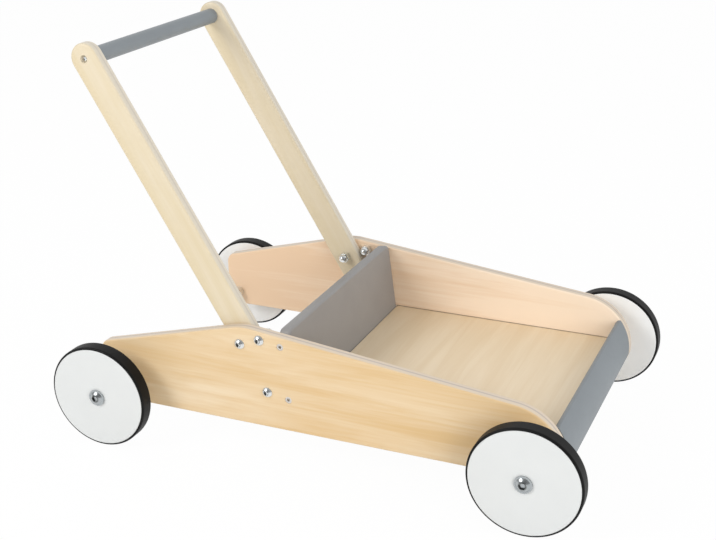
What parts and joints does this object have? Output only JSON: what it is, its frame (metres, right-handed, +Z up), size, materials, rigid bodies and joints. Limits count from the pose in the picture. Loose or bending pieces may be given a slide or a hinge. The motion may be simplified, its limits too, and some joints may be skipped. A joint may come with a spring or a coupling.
{
  "type": "baby push walker",
  "caption": "Wooden push walker with a shallow tray between shaped side panels, a leaning bolted handle with a round grip, and rubber-tyred disc wheels.",
  "frame": {"origin": "on the ground, midway between the axles and midway between the side panels", "axes": "+X forward, away from the child that pushes; +Y to the walker's left; +Z up"},
  "size_m": [0.547, 0.3484, 0.3993],
  "materials": {
    "birch_plywood": "clear satin lacquer",
    "floor_plywood": "clear satin lacquer",
    "grey_paint": "satin paint",
    "white_paint": "satin paint",
    "rubber": "matte",
    "white_plastic": "satin",
    "zinc_steel": "bright zinc plate"
  },
  "bodies": {
    "frame": {"right_side_panel": "birch_plywood", "left_side_panel": "birch_plywood", "right_handle_bar": "birch_plywood", "left_handle_bar": "birch_plywood", "handle_grip": "grey_paint", "grip_screws": "zinc_steel", "backboard": "grey_paint", "backboard_screws": "zinc_steel", "floor_board": "floor_plywood", "front_rail": "grey_paint", "front_rail_screws": "zinc_steel", "handle_lock_bolts": "zinc_steel", "handle_lock_nuts": "zinc_steel", "handle_pivot_bolts": "zinc_steel", "handle_pivot_nuts": "zinc_steel", "handle_spare_bolts": "zinc_steel", "handle_spare_nuts": "zinc_steel", "rear_right_axle_bolt": "zinc_steel", "rear_right_axle_nut": "zinc_steel", "rear_right_spacer": "white_plastic", "rear_right_washer": "zinc_steel", "rear_left_axle_bolt": "zinc_steel", "rear_left_axle_nut": "zinc_steel", "rear_left_spacer": "white_plastic", "rear_left_washer": "zinc_steel", "front_right_axle_bolt": "zinc_steel", "front_right_axle_nut": "zinc_steel", "front_right_spacer": "white_plastic", "front_right_washer": "zinc_steel", "front_left_axle_bolt": "zinc_steel", "front_left_axle_nut": "zinc_steel", "front_left_spacer": "white_plastic", "front_left_washer": "zinc_steel"},
    "rear_right_wheel": {"rear_right_wheel_disc": "white_paint", "rear_right_tyre": "rubber", "rear_right_hub_bush": "white_plastic"},
    "rear_left_wheel": {"rear_left_wheel_disc": "white_paint", "rear_left_tyre": "rubber", "rear_left_hub_bush": "white_plastic"},
    "front_right_wheel": {"front_right_wheel_disc": "white_paint", "front_right_tyre": "rubber", "front_right_hub_bush": "white_plastic"},
    "front_left_wheel": {"front_left_wheel_disc": "white_paint", "front_left_tyre": "rubber", "front_left_hub_bush": "white_plastic"}
  },
  "joints": [
    {"name": "rear_right_wheel_spin", "type": "hinge", "parent": "frame", "child": "rear_right_wheel", "pos_m": [-0.22, -0.162, 0.0535], "axis": [0, 1, 0], "continuous": true},
    {"name": "rear_left_wheel_spin", "type": "hinge", "parent": "frame", "child": "rear_left_wheel", "pos_m": [-0.22, 0.162, 0.0535], "axis": [0, 1, 0], "continuous": true},
    {"name": "front_right_wheel_spin", "type": "hinge", "parent": "frame", "child": "front_right_wheel", "pos_m": [0.22, -0.162, 0.0535], "axis": [0, 1, 0], "continuous": true},
    {"name": "front_left_wheel_spin", "type": "hinge", "parent": "frame", "child": "front_left_wheel", "pos_m": [0.22, 0.162, 0.0535], "axis": [0, 1, 0], "continuous": true}
  ]
}
